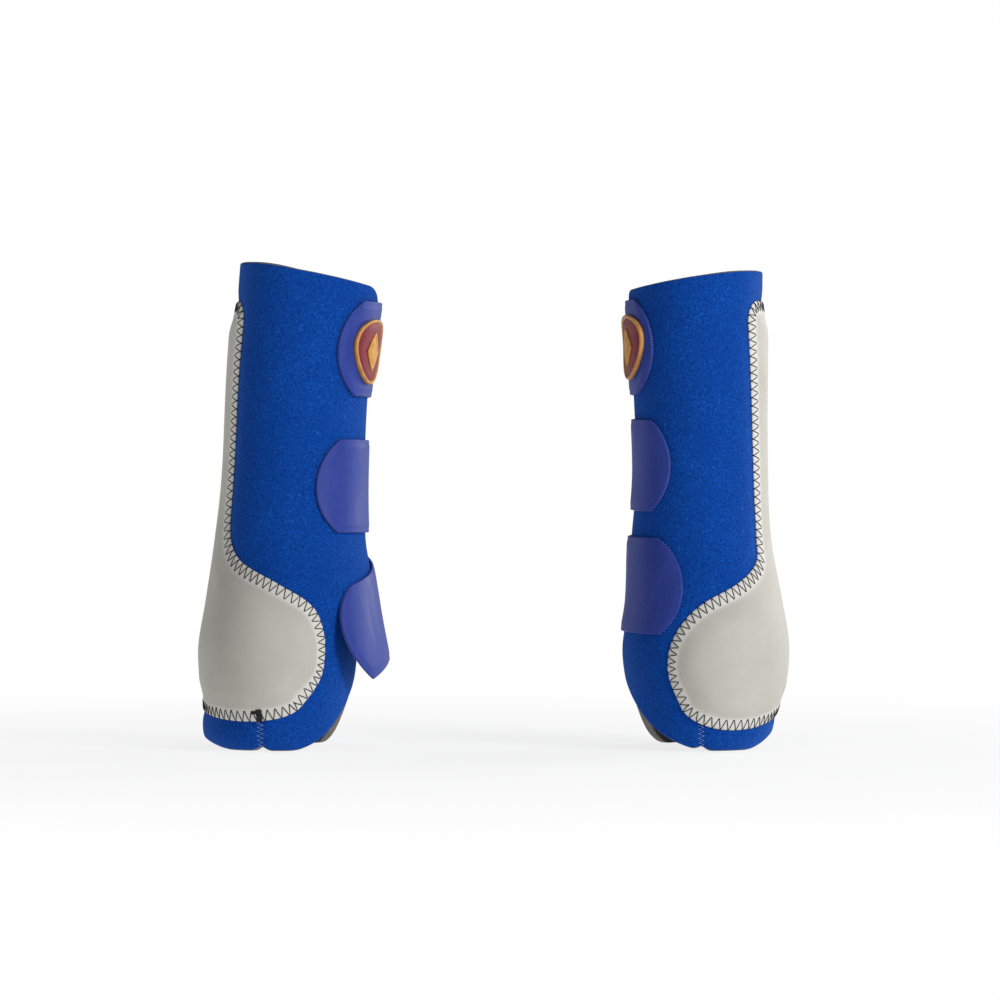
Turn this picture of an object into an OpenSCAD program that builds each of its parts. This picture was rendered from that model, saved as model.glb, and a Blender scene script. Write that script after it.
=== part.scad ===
// A pair of tendon boots for a horse's front legs, each a neoprene shell closed by three hook tabs.
// Each boot is drawn about its own leg, with the closure on +X, the strike pad on -X and the back of
// the leg at -Y. Round the leg, an angle of 0 is the closure side, -90 the back and 90 the front.

/* [Boot] */
// Height of the taller boot
boot_h = 277; // [265:1:286]
// Neoprene foam with its outer pile
foam_t = 5; // [4:0.5:6]
// Lining
lining_t = 1; // [0.6:0.1:1.5]
// Distance of the straight front fold from the middle of the pair
front_y = 60; // [55:1:65]

/* [Places] */
// Middle of the left boot's bottom
left_x = -122.5; // [-150:0.5:-115]
// Middle of the right boot's bottom
right_x = 120.5; // [115:0.5:150]
// How far the left boot leans towards the other at its top
left_lean = 13.5; // [0:0.5:18]
// How far the right boot leans towards the other at its top
right_lean = 4; // [0:0.5:18]

/* [Tabs] */
// Thickness of a tab's band
tab_t = 1.5; // [1:0.1:2.5]
// Thickness of a hook patch
hook_t = 0.9; // [0.5:0.1:1.2]
// Radius of a tab's round free end
tab_end_r = 31; // [29:1:60]
// Angle of the tabs' sewn ends
tab_root = 40; // [34:1:46]

/* [Strike pad] */
// Height of the pad's top end
pad_top = 258; // [256:1:260]
// Height of the padding over the shell
pad_h = 3.5; // [2.5:0.1:5]
// Thickness of the pad's cover
cover_t = 1; // [0.8:0.1:1.2]
// Width of the sewn margin
margin_w = 7; // [5:0.5:8]

/* [Badge] */
// Height of the badge
badge_h = 37; // [28:1:38]
// Width of the badge
badge_w = 35; // [24:1:38]
// Thickness of the badge's base
badge_t = 2; // [1:0.1:3]

/* [Hidden] */
// The floor's height in the tables below, and the top's
foot = 3.5;
top = boot_h + foot;
// Heights at which the widths and depths are given
station_z = [0, 12, 35, 60, 88, 122, 165, 225, 281] * top / 280.5;
half_depth = [49, 54, 57.5, 58, 55, 48.5, 45.5, 46, 46];
left_lateral = [36, 39, 41, 42.5, 49, 43.2, 40, 41.2, 46.5];
left_medial = [37.5, 44.5, 44, 45.2, 42.3, 39.5, 38.1, 38.1, 36.3];
right_lateral = [36, 41, 43.5, 46.2, 42, 39.8, 36.4, 37.8, 40.5];
right_medial = [33, 38.5, 43.3, 45.2, 41.4, 36.9, 35.3, 36.6, 38];

// The shell's edges
rear_edge = 3;
flap_edge = 9;
fold = 90;
fold_gap = 0.5;
left_seam = -102;
right_seam = -84;
seam_high = -178;
flap_rim_slope = 1.3;
// Each rim: the top's height below the taller boot's, its dip at the closure, then the bottom's rise towards
// the closure as its first angle, the angle it bends over and its slope, its rise under the pad, and the radius of the top's corner
left_rims = [0, 15, -78, 45, 0.78, 5, 25];
right_rims = [5, 10.5, -93, 60, 0.62, 9, 11];

// Mesh steps: rows up the shell, columns round each panel
rows = 16;
row_power = 1.25;
rear_cols = 18;
medial_cols = 14;
flap_cols = 7;

// The strike pad's near and far edges, as angles from straight back, at these heights
pad_z = [30, 45, 61, 75, 87, 98, 110, 122, 140, 205, 261];
left_near = [19.5, 34.5, 36, 29, 17.5, -5.5, -40, -55.5, -61, -62, -59];
right_near = [21.5, 29, 27.5, 19, 2, -28, -52.5, -57, -59, -53.5, -46];
far_edge = [-118, -134, -140, -136, -129, -122, -116, -113, -112, -112, -112];
pad_rows = [30, 37, 42, 52, 61, 70, 78, 84, 89, 93.5, 98, 102, 106, 110, 116, 124, 140, 165, 205, 240];
left_droop = 9.5;
right_droop = 14.5;
pad_gap = 0.5;
edge_t = 1.2;
thread_t = 0.4;

// Clearance between the shell and the hook patches, and the mesh steps of a tab
tab_gap = 0.8;
tab_cols = 12;
tab_rows = 6;
first_hook_col = 6;

// One tab: its free end's angle, the height of its middle at the sewn end and at the free end, its width,
// how far its lower edge stands off the shell, and how far its free end is slanted
left_tabs = [[-57, 230.6, 230.6, 54, 0, 0], [-69, 152.5, 152.5, 53, 0, 0], [-51, 91.5, 70, 53, 17.5, 8]];
right_tabs = [[-46, 232, 232, 54, 0, 0], [-60.5, 166, 164, 52, 0, 0], [-72, 98, 96, 54, 0, 0]];
left_badge = [-20.5, 229];
right_badge = [-14.5, 231.8];
badge_gap = 0.2;
field_t = 0.5;
emblem_t = 0.6;
spokes = 24;
rings = 3;

// Where each table stands in a boot's own list
LATERAL = 0;
MEDIAL = 1;
LEAN = 2;
NEAR = 3;
TABS = 4;
SEAM = 5;
RIMS = 6;
DROOP = 7;
BADGE = 8;
left = [left_lateral, left_medial, left_lean, left_near, left_tabs, left_seam, left_rims, left_droop, left_badge];
right = [right_lateral, right_medial, right_lean, right_near, right_tabs, right_seam, right_rims, right_droop,
    right_badge];

TOP = 0;
MIDDLE = 1;
LOWER = 2;

pieces = ["rear_panel", "medial_panel", "front_flap", "rear_lining", "medial_lining", "flap_lining",
    "strike_pad_cover", "strike_pad_foam", "pad_stitching", "pad_bar_tack", "seam_stitching",
    "top_tab", "middle_tab", "lower_tab", "top_hooks", "middle_hooks", "lower_hooks",
    "tab_root_stitching", "badge_base", "badge_field", "badge_emblem"];
// Only the left boot has a bar tack

// A smooth curve through a table's points
function slope(xs, ys, i) = let (a = max(i - 1, 0), b = min(i + 1, len(xs) - 1))
    (ys[b] - ys[a]) / (xs[b] - xs[a]);
function cell(xs, x) = max([for (i = [0:len(xs) - 2]) if (i == 0 || x >= xs[i]) i]);
function curve(xs, ys, x) = let (i = cell(xs, x), h = xs[i + 1] - xs[i], u = (x - xs[i]) / h)
    ys[i] * (1 + 2 * u) * pow(1 - u, 2) + ys[i + 1] * u * u * (3 - 2 * u)
    + h * slope(xs, ys, i) * u * pow(1 - u, 2) - h * slope(xs, ys, i + 1) * u * u * (1 - u);
function mix(a, b, u) = a + (b - a) * u;
function smooth(u) = let (c = min(max(u, 0), 1)) c * c * (3 - 2 * c);
// How far a rounded corner of radius r falls at a distance d from the edge
function corner(d, r) = d >= r ? 0 : r - sqrt(r * r - pow(r - max(d, 0), 2));
// A rise that starts at 0, bends over a width w and goes on at slope k
function ramp(d, w, k) = d <= 0 ? 0 : d < w ? k * d * d / (2 * w) : k * (d - w / 2);

// The shell's outer surface at angle t and height z, moved outwards by off
function half_width(b, t, z) = curve(station_z, b[cos(t) > 0 ? LATERAL : MEDIAL], z);
function depth(z) = curve(station_z, half_depth, z);
function surf(b, t, z, off) = let (w = half_width(b, t, z), d = depth(z),
    n = [cos(t) / w, sin(t) / d], m = n / norm(n))
    [b[LEAN] * z / top + w * cos(t) + off * m[0], front_y - d + d * sin(t) + off * m[1], z];
function mm_per_degree(b, z) = (half_width(b, 0, z) + depth(z)) / 2 * PI / 180;

// The shell's rims
function on_flap(t) = t > (rear_edge + flap_edge) / 2;
function rim_top(b, t) = top - b[RIMS][0] - b[RIMS][1] * pow((1 + cos(t)) / 2, 1.4)
    - corner((on_flap(t) ? t - flap_edge : rear_edge - t) * 0.75, b[RIMS][6]);
function rim_bottom(b, t) = foot + (on_flap(t) ? ramp(fold - 38 - t, 15, flap_rim_slope)
    : ramp(t - b[RIMS][2], b[RIMS][3], b[RIMS][4]) + b[RIMS][5] * pow(cos(90 * min(abs(t + 178) / 50, 1)), 2));
function row(r) = pow(r / rows, row_power);
function seam(b, v) = mix(b[SEAM], seam_high, smooth((v * boot_h - 20) / 115));

// A closed solid between two grids of points, given as rows of equal length. The rows go up, and their
// points go round from the closure to the back.
module slab(inner, outer) {
    n = len(inner) - 1;
    m = len(inner[0]) - 1;
    far = (n + 1) * (m + 1);
    function at(r, c) = r * (m + 1) + c;
    points = concat([for (line = inner) each line], [for (line = outer) each line]);
    face = [for (r = [0:n - 1], c = [0:m - 1])
        each [[at(r, c), at(r + 1, c + 1), at(r, c + 1)], [at(r, c), at(r + 1, c), at(r + 1, c + 1)]]];
    back = [for (f = face) [f[2] + far, f[1] + far, f[0] + far]];
    rim = concat([for (c = [0:m - 1]) at(0, c)], [for (r = [0:n - 1]) at(r, m)],
        [for (c = [m:-1:1]) at(n, c)], [for (r = [n:-1:1]) at(r, 0)]);
    k = len(rim);
    side = [for (i = [0:k - 1]) let (a = rim[i], d = rim[(i + 1) % k])
        each [[d, a + far, a], [d, d + far, a + far]]];
    polyhedron(points, concat(face, back, side));
}

// A layer of the shell between two offsets, over columns that run between two edges
function shell_grid(b, edges, cols, off) = [for (r = [0:rows]) let (e = edges(b, row(r)))
    [for (c = [0:cols]) let (t = mix(e[0], e[1], c / cols))
        surf(b, t, mix(rim_bottom(b, t), rim_top(b, t), row(r)), off)]];
rear_edges = function (b, v) [rear_edge, seam(b, v)];
medial_edges = function (b, v) [seam(b, v), fold + fold_gap - 360];
flap_edges = function (b, v) [fold - fold_gap, flap_edge];
module shell_layer(b, edges, cols, off, t)
    slab(shell_grid(b, edges, cols, off - t), shell_grid(b, edges, cols, off));

module rear_panel(b) color("royalblue") shell_layer(b, rear_edges, rear_cols, 0, foam_t);
module medial_panel(b) color("royalblue") shell_layer(b, medial_edges, medial_cols, 0, foam_t);
module front_flap(b) color("royalblue") shell_layer(b, flap_edges, flap_cols, 0, foam_t);
module rear_lining(b) color("midnightblue") shell_layer(b, rear_edges, rear_cols, -foam_t, lining_t);
module medial_lining(b) color("midnightblue") shell_layer(b, medial_edges, medial_cols, -foam_t, lining_t);
module flap_lining(b) color("midnightblue") shell_layer(b, flap_edges, flap_cols, -foam_t, lining_t);

// The strike pad's rows, columns and outline
pad_lines = concat([for (z = pad_rows) min(z, pad_top - 12)], [pad_top - 11, pad_top - margin_w, pad_top]);
last_line = len(pad_lines) - 1;
belly_cols = 12;
pad_cols = belly_cols + 4;
function pad_columns(b, z) = let (w = (curve(pad_z, b[NEAR], z) - curve(pad_z, far_edge, z)) * mm_per_degree(b, z),
    m = margin_w / w, s = (margin_w + 4) / w)
    concat([0, m], [for (i = [0:belly_cols]) mix(s, 1 - s, i / belly_cols)], [1 - m, 1]);
function pad_point(b, z, u, off) = let (near = curve(pad_z, b[NEAR], z), far = curve(pad_z, far_edge, z),
    low = 1 - smooth((z - pad_z[0]) / (pad_z[2] - pad_z[0])))
    surf(b, mix(near, far, u) - 90, z - b[DROOP] * low * sin(180 * pow(u, 0.6)), off);
// How far in a line is: 0 on the outline, 1 on the stitch line, 2 on the padding
function inset(i, last) = min(i, last - i, 2);
function pad_grid(b, levels) = [for (r = [0:last_line]) let (us = pad_columns(b, pad_lines[r]))
    [for (c = [0:pad_cols]) pad_point(b, pad_lines[r], us[c],
        pad_gap + levels[min(inset(r, last_line), inset(c, pad_cols))])]];
function inner_part(grid) = [for (r = [1:len(grid) - 2]) [for (c = [1:len(grid[0]) - 2]) grid[r][c]]];
cover_levels = [edge_t, edge_t + 0.2, pad_h];
foam_levels = [0, edge_t + 0.2 - cover_t, pad_h - cover_t];

module strike_pad_cover(b) color("lightgray") slab(pad_grid(b, foam_levels), pad_grid(b, cover_levels));
module strike_pad_foam(b) color("gainsboro")
    slab(inner_part(pad_grid(b, [0, 0, 0])), inner_part(pad_grid(b, foam_levels)));

// The zigzag seam round the pad, as a flat band on its margin
function sub_grid(grid, r0, r1, c0, c1) = [for (r = [r0:r1]) [for (c = [c0:c1]) grid[r][c]]];
module pad_stitching(b) color("black") {
    low = pad_grid(b, cover_levels);
    high = pad_grid(b, [for (level = cover_levels) level + thread_t]);
    for (area = [[0, last_line, 0, 1], [0, last_line, pad_cols - 1, pad_cols],
            [0, 1, 1, pad_cols - 1], [last_line - 1, last_line, 1, pad_cols - 1]])
        slab(sub_grid(low, area[0], area[1], area[2], area[3]),
            sub_grid(high, area[0], area[1], area[2], area[3]));
}

// A small patch on the shell between two angles and two heights
function patch(b, t0, t1, z0, z1, cols, lines, off) = [for (r = [0:lines])
    [for (c = [0:cols]) surf(b, mix(t0, t1, c / cols), mix(z0, z1, r / lines), off)]];
module shell_patch(b, t0, t1, z0, z1, cols, lines, off, t)
    slab(patch(b, t0, t1, z0, z1, cols, lines, off), patch(b, t0, t1, z0, z1, cols, lines, off + t));
module pad_bar_tack(b) color("black")
    shell_patch(b, b[SEAM] + 3, b[SEAM] - 3, 21.5, 26.5, 1, 1, pad_gap + edge_t + thread_t + 0.9, 0.8);
module seam_stitching(b) color("lightskyblue")
    shell_patch(b, b[SEAM] + 3, b[SEAM] - 3, foot + 1.5, 14, 2, 3, 0.3, thread_t);

// The tabs: u runs from the sewn end to the free end, w from the lower to the upper edge
function tab_point(b, tab, u, w, off) = let (mid = mix(tab[1], tab[2], u), half = tab[3] / 2, z = mid + w * half,
    fall = tab_end_r - sqrt(pow(tab_end_r, 2) - pow(w * half, 2)),
    t = mix(tab_root, tab[0] + fall / mm_per_degree(b, z) - tab[5] * w, u),
    lift = tab[4] * smooth(1.8 * u) * (1.1 - 0.25 * u),
    on_shell = surf(b, t, z, off + lift * (1 - w) / 2),
    straight = mix(surf(b, t, mid - half, off + lift), surf(b, t, mid + half, off), (1 + w) / 2))
    tab[4] > 0 ? mix(on_shell, straight, smooth(2 * u)) : on_shell;
function tab_grid(b, tab, first, off) = [for (r = [0:tab_rows]) [for (c = [first:tab_cols])
    tab_point(b, tab, c / tab_cols, 2 * r / tab_rows - 1, off)]];
module tab_layer(b, tab, first, off, t)
    slab(tab_grid(b, tab, first, off), tab_grid(b, tab, first, off + t));
module tab_band(b, i) color("slateblue") tab_layer(b, b[TABS][i], 0, tab_gap + hook_t, tab_t);
module hook_patch(b, i) color("darkslateblue") tab_layer(b, b[TABS][i], first_hook_col, tab_gap, hook_t);
module tab_root_stitching(b) color("navy") for (tab = b[TABS])
    shell_patch(b, tab_root + 5, tab_root + 2, tab[1] - tab[3] / 2 + 3, tab[1] + tab[3] / 2 - 3, 1, 4, 0.4, thread_t);

// The badge: an egg-shaped plate that follows the top tab
function egg(a) = [badge_w / 2 * cos(a) * (1 + 0.24 * sin(a)), badge_h / 2 * sin(a)];
function lozenge(a) = let (r = 1 / (abs(cos(a)) + abs(sin(a)))) [7 * r * cos(a), 11 * r * sin(a)];
function badge_point(b, p, off) = let (z = b[BADGE][1])
    surf(b, b[BADGE][0] + p[0] / mm_per_degree(b, z), z + p[1], off);
module badge_plate(b, outline, scale, off, t) {
    disc = concat([[0, 0]], [for (k = [1:rings], i = [0:spokes - 1]) outline(i * 360 / spokes) * scale * k / rings]);
    far = len(disc);
    function at(k, i) = k == 0 ? 0 : 1 + (k - 1) * spokes + i % spokes;
    face = [for (i = [0:spokes - 1]) each concat([[at(0, 0), at(1, i), at(1, i + 1)]],
        [for (k = [1:rings - 1]) each [[at(k, i), at(k + 1, i), at(k + 1, i + 1)],
            [at(k, i), at(k + 1, i + 1), at(k, i + 1)]]])];
    side = [for (i = [0:spokes - 1]) let (a = at(rings, i), d = at(rings, i + 1))
        each [[a, d, d + far], [a, d + far, a + far]]];
    polyhedron(concat([for (p = disc) badge_point(b, p, off)], [for (p = disc) badge_point(b, p, off + t)]),
        concat(face, [for (f = face) [f[2] + far, f[1] + far, f[0] + far]], [for (f = side) [f[2], f[1], f[0]]]));
}
badge_off = tab_gap + hook_t + tab_t + badge_gap;
egg_outline = function (a) egg(a);
lozenge_outline = function (a) lozenge(a);
module badge_base(b) color("goldenrod") badge_plate(b, egg_outline, 1, badge_off, badge_t);
module badge_field(b) color("maroon") badge_plate(b, egg_outline, 0.84, badge_off + badge_t + 0.1, field_t);
module badge_emblem(b) color("gold")
    badge_plate(b, lozenge_outline, 1, badge_off + badge_t + field_t + 0.2, emblem_t);

module piece(b, name) {
    if (name == "rear_panel") rear_panel(b);
    if (name == "medial_panel") medial_panel(b);
    if (name == "front_flap") front_flap(b);
    if (name == "rear_lining") rear_lining(b);
    if (name == "medial_lining") medial_lining(b);
    if (name == "flap_lining") flap_lining(b);
    if (name == "strike_pad_cover") strike_pad_cover(b);
    if (name == "strike_pad_foam") strike_pad_foam(b);
    if (name == "pad_stitching") pad_stitching(b);
    if (name == "pad_bar_tack") pad_bar_tack(b);
    if (name == "seam_stitching") seam_stitching(b);
    if (name == "top_tab") tab_band(b, TOP);
    if (name == "middle_tab") tab_band(b, MIDDLE);
    if (name == "lower_tab") tab_band(b, LOWER);
    if (name == "top_hooks") hook_patch(b, TOP);
    if (name == "middle_hooks") hook_patch(b, MIDDLE);
    if (name == "lower_hooks") hook_patch(b, LOWER);
    if (name == "tab_root_stitching") tab_root_stitching(b);
    if (name == "badge_base") badge_base(b);
    if (name == "badge_field") badge_field(b);
    if (name == "badge_emblem") badge_emblem(b);
}

for (p = pieces) {
    translate([left_x, 0, -foot]) piece(left, p);
    translate([right_x, 0, -foot]) mirror([1, 0, 0]) piece(right, p);
}
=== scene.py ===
"""A pair of tendon boots: neoprene shells with a brushed pile face, padded strike areas, hook tabs and badges.

Sizes are in millimetres and angles in degrees until a mesh is made. Round a leg, an angle of 0 is the closure,
-90 the back, -180 the strike pad's side and -270 the front, where the flap's fold is.
"""
import math

import bmesh
import bpy
import mathutils
import numpy as np
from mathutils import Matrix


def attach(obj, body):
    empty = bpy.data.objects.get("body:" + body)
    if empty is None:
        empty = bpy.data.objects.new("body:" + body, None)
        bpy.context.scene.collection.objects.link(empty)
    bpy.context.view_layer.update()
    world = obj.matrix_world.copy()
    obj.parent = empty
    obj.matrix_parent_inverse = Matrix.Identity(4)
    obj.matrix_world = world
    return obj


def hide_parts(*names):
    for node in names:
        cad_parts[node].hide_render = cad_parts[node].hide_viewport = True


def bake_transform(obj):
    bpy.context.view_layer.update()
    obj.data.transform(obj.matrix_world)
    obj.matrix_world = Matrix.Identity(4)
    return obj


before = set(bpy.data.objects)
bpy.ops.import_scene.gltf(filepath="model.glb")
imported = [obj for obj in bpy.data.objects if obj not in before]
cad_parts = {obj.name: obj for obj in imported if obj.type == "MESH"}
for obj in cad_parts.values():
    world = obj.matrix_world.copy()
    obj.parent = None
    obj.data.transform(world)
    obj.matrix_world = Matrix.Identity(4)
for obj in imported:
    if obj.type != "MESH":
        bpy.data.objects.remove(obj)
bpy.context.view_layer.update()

MM = 0.001
TURN = 360.0
UP = (0.0, 0.0, 1.0)

# The shell. Its half widths are in each boot's own tables, at the same heights as its half depths. Heights
# are in the boot's own millimetres, where the floor is at FOOT.
BOOT_H = 277.0
FOOT = 3.5
TOP = BOOT_H + FOOT
FOAM_T = 5.0
LINING_T = 1.0
FRONT_Y = 60.0
STATION_Z = (0, 12, 35, 60, 88, 122, 165, 225, 281)
HALF_DEPTH = (49, 54, 57.5, 58, 55, 48.5, 45.5, 46, 46)
REAR_EDGE = 3.0
FLAP_EDGE = 9.0
SEAM_HIGH = -178.0
FLAP_RIM_SLOPE = 1.3
CLOSURE_MM_PER_DEGREE = 0.75
PILE_ROUND = 1.3
SEAM_ROUND = 0.7
SEAM_GROOVE_W = 3.2
SEAM_GROOVE_Z = 14.0
SEAM_GROOVE_FADE = 14.0
REAR_COLUMNS = 74
WRAP_COLUMNS = 84
SHELL_ROWS = 118

# The strike pad. Its far edge is in degrees from the back, and so is its near edge, which is in each boot's own
# table.
PAD_Z = (30, 45, 61, 75, 87, 98, 110, 122, 140, 205, 261)
PAD_FAR = (-118, -134, -140, -136, -129, -122, -116, -113, -112, -112, -112)
PAD_TOP = 258.0
PAD_NEAR_CORNER = 13.0
PAD_FAR_CORNER = 22.0
PAD_H = 3.4
OUTLINE_STEP = 0.5
EDGE_T = 1.2
MARGIN_W = 6.8
SINK_DEPTH = 0.75
SINK_W = 4.5

# Stitching: the pad's zigzag reaches from just outside its outline to just short of the margin's width
STITCH_PITCH = 4.7
STITCH_OUT = 0.5
STITCH_IN = MARGIN_W - 0.4
THREAD_R = 0.28
SEAM_STITCH_LOW = FOOT + 2.6
SEAM_STITCH_W = 4.2
SEAM_STITCH_PITCH = 2.5
SEAM_THREAD_R = 0.17
TACK_Z = (20.5, 27.5)
TACK_W = 3.2
TACK_PITCH = 0.62
TACK_HEIGHT = 1.75
TACK_THREAD_R = 0.3
ARM_Z = 25.2
ARM_LENGTH = 4.0
ARM_THREADS = 4
ARM_THREAD_R = 0.28

# The tabs: heights over the shell of the hooks' tips, the band's underside and its face
TAB_ROOT = 40.0
SEWN_W = 7.0
TAB_END_R = 31.0
HOOK_TIP = 0.3
BAND_LOW = 1.1
BAND_HIGH = 2.5
HOOK_PITCH = 1.7
HOOK_R = 0.16
PIP_PITCH = 1.5
PIP_R = 0.24
ROOT_STITCH = 2.5
ROOT_STITCH_PITCH = 3.2
ROOT_ROWS = (2.2, 5.0)
ROOT_THREAD_R = 0.26

# The badge
BADGE_W = 35.0
BADGE_H = 37.0
LOZENGE_W = 14.0
LOZENGE_H = 22.0


# ---------------------------------------------------------------- shapes

def curve(xs, ys, x):
    """A smooth curve through a table's points."""
    xs, ys, x = np.array(xs, float), np.array(ys, float), np.asarray(x, float)
    before = np.maximum(np.arange(len(xs)) - 1, 0)
    after = np.minimum(np.arange(len(xs)) + 1, len(xs) - 1)
    slope = (ys[after] - ys[before]) / (xs[after] - xs[before])
    i = np.clip(np.searchsorted(xs, x, side="right") - 1, 0, len(xs) - 2)
    h = xs[i + 1] - xs[i]
    u = (x - xs[i]) / h
    ends = ys[i] * (1 + 2 * u) * (1 - u) ** 2 + ys[i + 1] * u * u * (3 - 2 * u)
    return ends + h * slope[i] * u * (1 - u) ** 2 - h * slope[i + 1] * u * u * (1 - u)


def mix(a, b, u):
    return a + (b - a) * u


def smooth(u):
    u = np.clip(u, 0, 1)
    return u * u * (3 - 2 * u)


def bump(x, width):
    """1 at x = 0, and falling smoothly to 0 over about twice the width."""
    return np.exp(-(x / width) ** 2)


def corner(d, r):
    """How far a rounded corner of radius r falls at a distance d from the edge."""
    inside = np.clip(r - np.maximum(d, 0), 0, r)
    return r - np.sqrt(r * r - inside ** 2)


def ramp(d, width, k):
    """A rise that starts at 0, bends over a width and goes on at slope k."""
    bend = k * np.clip(d, 0, width) ** 2 / (2 * width)
    return bend + k * np.maximum(d - width, 0)


def cosd(t):
    return np.cos(np.radians(t))


def sind(t):
    return np.sin(np.radians(t))


def unit(v):
    return v / np.maximum(np.linalg.norm(v, axis=-1, keepdims=True), 1e-12)


EDGE_STEPS = np.array((0.0, 0.2, 0.5, 0.9, 1.4, 2.2, 3.4))


def spread(width, middle, edge=EDGE_STEPS):
    """Fractions from 0 to 1 across a width: the edge steps at each end, and even steps between them."""
    low = edge / np.asarray(width, float)[..., None]
    last = low[..., -1:]
    return np.concatenate([low, mix(last, 1 - last, np.linspace(0, 1, middle)[1:-1]), 1 - low[..., ::-1]], -1)


def distance(points, line):
    """The distance from each point to a dense line of points, and the index of the nearest."""
    flat = points.reshape(-1, 3)
    gaps, nearest = [], []
    for some in np.array_split(flat, max(1, len(flat) // 2000)):
        d = ((some[:, None, :] - line[None]) ** 2).sum(-1)
        nearest.append(d.argmin(1))
        gaps.append(np.sqrt(d.min(1)))
    return np.concatenate(gaps).reshape(points.shape[:-1]), np.concatenate(nearest).reshape(points.shape[:-1])


class Boot:
    """One boot: its tables, and its surface about its own leg.

    lateral and medial are the half widths on the closure's side and the pad's side, and near is the pad's
    near edge. A tab is the angle of its free end, the heights of the middle of its root and of its end, its
    width, how far its lower edge stands off the shell, and the degrees that its end slants to either side.
    rims are the top's drop and dip, the bottom's first angle, bend, slope and rise under the pad, and the
    radius of the closure's top corner. cut is the width and the area of the rear panel's cloth and of the
    wrap's, in metres; it is not used."""

    def __init__(self, side, x, lean, lateral, medial, near, tabs, seam, seam_top, rims, droop, badge, cut):
        self.side, self.x, self.lean = side, x, lean
        self.rims, self.droop, self.badge, self.cut = rims, droop, badge, cut
        self.lateral, self.medial, self.near = lateral, medial, near
        self.tabs, self.seam_low, self.seam_top = tabs, seam, seam_top
        self.flip = 1 if side == "left" else -1
        self.outline = self.pad_outline()

    def name(self, piece):
        return f"{self.side}_{piece}"

    def sizes(self, t, z):
        """The half width and half depth of the shell at an angle and a height."""
        wide = np.where(cosd(t) > 0, curve(STATION_Z, self.lateral, z), curve(STATION_Z, self.medial, z))
        return wide, curve(STATION_Z, HALF_DEPTH, z)

    def ripple(self, t, z):
        """The soft unevenness of foam that has been wrapped by hand."""
        return (0.22 * np.sin(z / 13 + 1.7 * sind(t + 40 * self.flip)) * (0.4 + bump(z - 118, 45))
                + 0.18 * np.sin(z / 31 - t / 23 + self.x))

    def surface(self, t, z, off):
        """Points in the boot's own millimetres, at a height off over the shell's face."""
        t, z = np.broadcast_arrays(np.asarray(t, float), np.asarray(z, float))
        w, d = self.sizes(t, z)
        nx, ny = cosd(t) / w, sind(t) / d
        long = np.hypot(nx, ny)
        off = off + self.ripple(t, z)
        x = self.lean * z / TOP + w * cosd(t) + off * nx / long
        y = FRONT_Y - d + d * sind(t) + off * ny / long
        return np.stack([x, y, z], -1)

    def invert(self, p):
        """The angle and height of a point near the surface."""
        x, y, z = p[..., 0] - self.lean * p[..., 2] / TOP, p[..., 1], p[..., 2]
        w = np.where(x > 0, curve(STATION_Z, self.lateral, z), curve(STATION_Z, self.medial, z))
        d = curve(STATION_Z, HALF_DEPTH, z)
        t = np.degrees(np.arctan2((y - FRONT_Y + d) / d, x / w))
        return np.where(t > 90, t - TURN, t), z

    def place(self, p):
        """The boot's own millimetres as metres in the shared frame."""
        return np.stack([self.x + self.flip * p[..., 0], p[..., 1], p[..., 2] - FOOT], -1) * MM

    def mm_per_degree(self, z):
        w, d = self.sizes(0.0, z)
        return (w + d) / 2 * math.pi / 180

    def rim_top(self, t):
        t = np.where(t < -270, t + TURN, t)
        drop, dip = self.rims[:2]
        on_flap = t > (REAR_EDGE + FLAP_EDGE) / 2
        to_edge = np.where(on_flap, t - FLAP_EDGE, REAR_EDGE - t) * CLOSURE_MM_PER_DEGREE
        return TOP - drop - dip * ((1 + cosd(t)) / 2) ** 1.4 - corner(to_edge, self.rims[6])

    def rim_bottom(self, t):
        t = np.where(t < -270, t + TURN, t)
        first, bend, slope, rise = self.rims[2:6]
        under_pad = rise * cosd(90 * np.minimum(np.abs(t + 178) / 50, 1)) ** 2
        return FOOT + np.where(t > (REAR_EDGE + FLAP_EDGE) / 2, ramp(52 - t, 15, FLAP_RIM_SLOPE),
                               ramp(t - first, bend, slope) + under_pad)

    def seam(self, z):
        return mix(self.seam_low, SEAM_HIGH, smooth((z - 20) / 115))

    def groove(self, across, z):
        """How deep the seam's stitching draws the cloth in, at a distance across it and a height."""
        return bump(across, SEAM_GROOVE_W) * (1 - smooth((z - SEAM_GROOVE_Z) / SEAM_GROOVE_FADE))

    def pad_place(self, u, z):
        """The angle and height at a share u across the pad, from its near edge to its far one."""
        near = curve(PAD_Z, self.near, z) - 90 - corner(PAD_TOP - z, PAD_NEAR_CORNER) / self.mm_per_degree(z)
        far = curve(PAD_Z, PAD_FAR, z) - 90 + corner(PAD_TOP - z, PAD_FAR_CORNER) / self.mm_per_degree(z)
        low = 1 - smooth((z - PAD_Z[0]) / (PAD_Z[2] - PAD_Z[0]))
        return mix(near, far, u), z - self.droop * low * np.sin(math.pi * np.power(u, 0.6))

    def pad_outline(self):
        """The pad's outline on the shell, as a closed line of evenly spaced points."""
        up, across = np.linspace(0, 1, 400), np.linspace(0, 1, 200)
        rise = mix(PAD_Z[0], PAD_TOP, up)
        sides = [(0 * up, rise), (across, 0 * across + PAD_TOP), (0 * up + 1, rise[::-1]),
                 (across[::-1], 0 * across + PAD_Z[0])]
        line = np.concatenate([self.surface(*self.pad_place(u, z), 0)[:-1] for u, z in sides])
        line = np.concatenate([line, line[:1]])
        along = np.concatenate([[0], np.cumsum(np.linalg.norm(np.diff(line, axis=0), axis=1))])
        even = np.arange(0, along[-1], OUTLINE_STEP)
        return np.stack([np.interp(even, along, line[:, k]) for k in range(3)], -1)


def sink(d):
    """How deep the foam is drawn in by the pad's stitching, at a distance from its outline."""
    return SINK_DEPTH * bump(d, SINK_W)


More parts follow.
